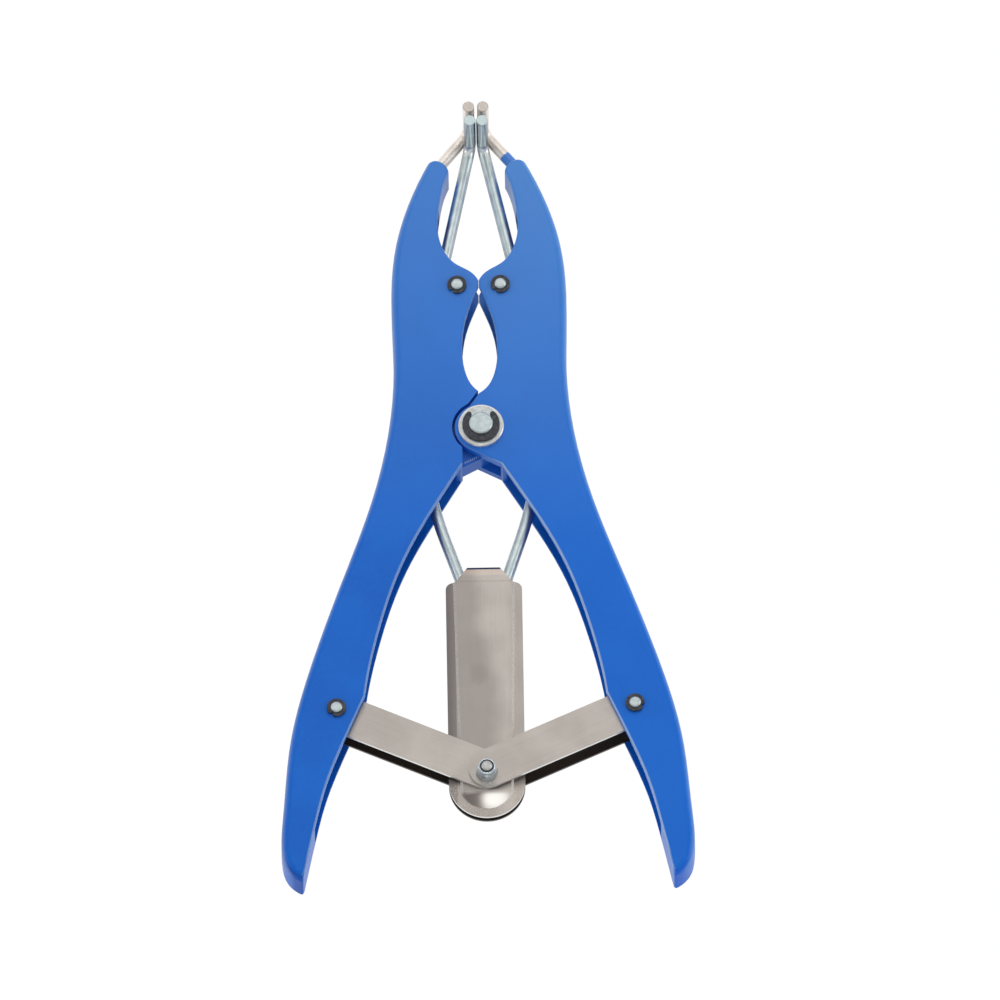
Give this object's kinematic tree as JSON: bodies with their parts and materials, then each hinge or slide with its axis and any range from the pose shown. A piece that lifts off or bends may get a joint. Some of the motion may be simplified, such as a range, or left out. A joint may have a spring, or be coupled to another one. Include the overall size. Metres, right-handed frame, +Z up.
{
  "type": "elastrator pliers",
  "caption": "Hand pliers that stretch a rubber ring on upright prongs: two blue cast halves on a pivot, flat links, a sliding bracket and round rods.",
  "frame": {"origin": "centre of the rear face of the main pivot pin's head, on the main pivot axis; the tool lies on its back on the pin heads", "axes": "+Z up out of the resting plane along the pivot axes and the prongs, +Y from the handles towards the prongs, +X to the right seen from the front"},
  "size_m": [0.106, 0.2149, 0.0233],
  "materials": {
    "blue_paint": "glossy paint",
    "zinc_rod": "bright zinc plating",
    "grey_rod": "dull plating",
    "sheet_steel": "fine brushed",
    "pin_steel": "satin plating",
    "clip_steel": "blackened",
    "nut_zinc": "bright zinc plating",
    "nut_nylon": "matt"
  },
  "bodies": {
    "pivot": {"pivot_pin": "pin_steel", "pivot_washer": "pin_steel", "pivot_clip": "clip_steel"},
    "left_half": {"left_handle": "blue_paint", "left_fixed_prong": "grey_rod", "left_guide_pin": "pin_steel", "left_guide_clip": "clip_steel", "left_guide_sleeve": "pin_steel", "left_link_pin": "pin_steel", "left_link_clip": "clip_steel", "left_link_spacer": "pin_steel"},
    "right_half": {"right_handle": "blue_paint", "right_fixed_prong": "grey_rod", "right_guide_pin": "pin_steel", "right_guide_clip": "clip_steel", "right_guide_sleeve": "pin_steel", "right_link_pin": "pin_steel", "right_link_clip": "clip_steel", "right_link_spacer": "pin_steel"},
    "left_links": {"left_link_front": "sheet_steel", "left_link_rear": "sheet_steel"},
    "bracket": {"bracket_front_plate": "sheet_steel", "bracket_rear_plate": "sheet_steel", "bracket_spacer": "pin_steel", "bracket_stud": "pin_steel", "bracket_bolt": "pin_steel", "bracket_nut": "nut_zinc", "nut_insert": "nut_nylon"},
    "right_links": {"right_link_front": "sheet_steel", "right_link_rear": "sheet_steel"},
    "left_rod": {"left_sliding_prong": "zinc_rod"},
    "right_rod": {"right_sliding_prong": "zinc_rod"}
  },
  "joints": [
    {"name": "left_handle_turn", "type": "hinge", "parent": "pivot", "child": "left_half", "pos_m": [0, 0, 0.007], "axis": [0, 0, 1], "range_deg": [0, 7]},
    {"name": "right_handle_turn", "type": "hinge", "parent": "pivot", "child": "right_half", "pos_m": [0, 0, 0.007], "axis": [0, 0, 1], "range_deg": [-7, 0]},
    {"name": "left_link_turn", "type": "hinge", "parent": "left_half", "child": "left_links", "pos_m": [-0.0383, -0.07925, 0.007], "axis": [0, 0, 1], "range_deg": [-29.66, 0]},
    {"name": "bracket_turn", "type": "hinge", "parent": "left_links", "child": "bracket", "pos_m": [0, -0.0974, 0.007], "axis": [0, 0, 1], "range_deg": [0, 22.66]},
    {"name": "right_link_turn", "type": "hinge", "parent": "bracket", "child": "right_links", "pos_m": [0, -0.0974, 0.007], "axis": [0, 0, 1], "range_deg": [0, 22.66]},
    {"name": "left_rod_turn", "type": "hinge", "parent": "bracket", "child": "left_rod", "pos_m": [-0.0032, -0.049, 0.007], "axis": [0, 0, 1], "range_deg": [0, 4.77]},
    {"name": "right_rod_turn", "type": "hinge", "parent": "bracket", "child": "right_rod", "pos_m": [0.0032, -0.049, 0.007], "axis": [0, 0, 1], "range_deg": [-4.77, 0]}
  ],
  "couplings": [
    {"joint": "right_handle_turn", "follows": "left_handle_turn", "ratio": -1},
    {"joint": "left_link_turn", "follows": "left_handle_turn", "ratio": -4.2358},
    {"joint": "bracket_turn", "follows": "left_handle_turn", "ratio": 3.2358},
    {"joint": "right_link_turn", "follows": "left_handle_turn", "ratio": 3.2358},
    {"joint": "left_rod_turn", "follows": "left_handle_turn", "ratio": 0.68},
    {"joint": "right_rod_turn", "follows": "left_handle_turn", "ratio": -0.68}
  ]
}
